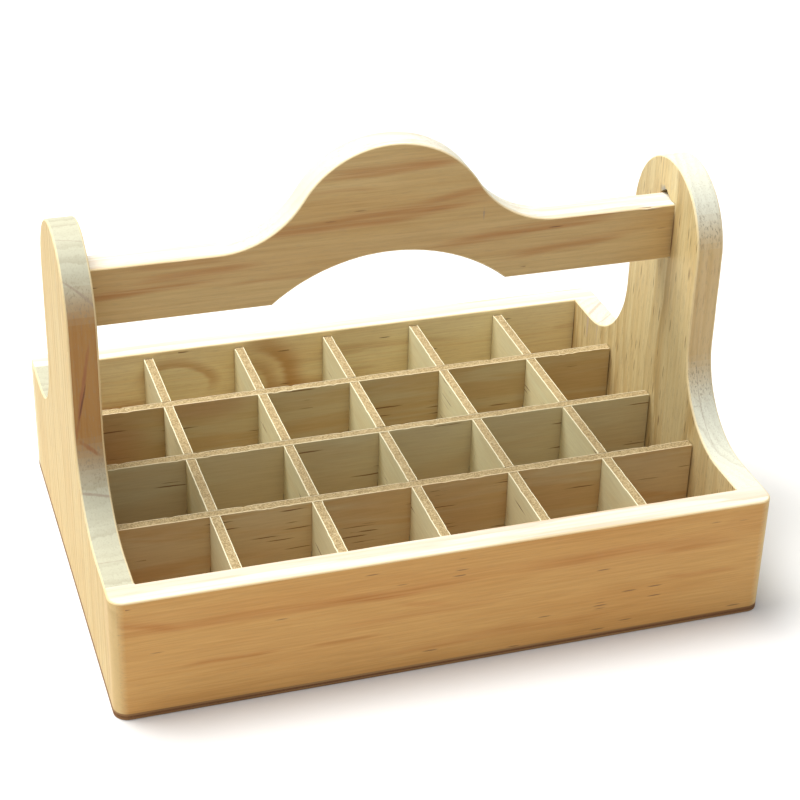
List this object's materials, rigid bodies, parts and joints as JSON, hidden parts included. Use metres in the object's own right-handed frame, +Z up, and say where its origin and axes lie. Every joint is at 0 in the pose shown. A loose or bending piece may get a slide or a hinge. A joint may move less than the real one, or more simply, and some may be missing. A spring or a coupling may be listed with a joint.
{
  "type": "tool storage caddy",
  "caption": "Open wooden tool caddy with a shaped carrying handle between tall end panels and a lift-out egg-crate of half-lapped dividers.",
  "frame": {"origin": "centre of the underside, on the surface that the caddy stands on", "axes": "+X along the length of the box and handle, +Y towards the back panel, +Z up"},
  "size_m": [0.3, 0.22, 0.205],
  "materials": {
    "pine": "sanded, unfinished",
    "thin_board": "matte",
    "divider_board": "matte",
    "steel": "plain"
  },
  "bodies": {
    "box": {"front_panel": "pine", "back_panel": "pine", "end_panel_left": "pine", "end_panel_right": "pine", "handle_board": "pine", "bottom_panel": "thin_board", "front_panel_pins": "steel", "back_panel_pins": "steel", "handle_pins_left": "steel", "handle_pins_right": "steel", "bottom_panel_brads": "steel"},
    "divider_grid": {"long_divider_1": "divider_board", "long_divider_2": "divider_board", "long_divider_3": "divider_board", "cross_divider_1": "divider_board", "cross_divider_2": "divider_board", "cross_divider_3": "divider_board", "cross_divider_4": "divider_board", "cross_divider_5": "divider_board"}
  },
  "joints": [
    {"name": "divider_grid_lift", "type": "slide", "parent": "box", "child": "divider_grid", "axis": [0, 0, 1], "range_m": [0, 0.076]}
  ]
}
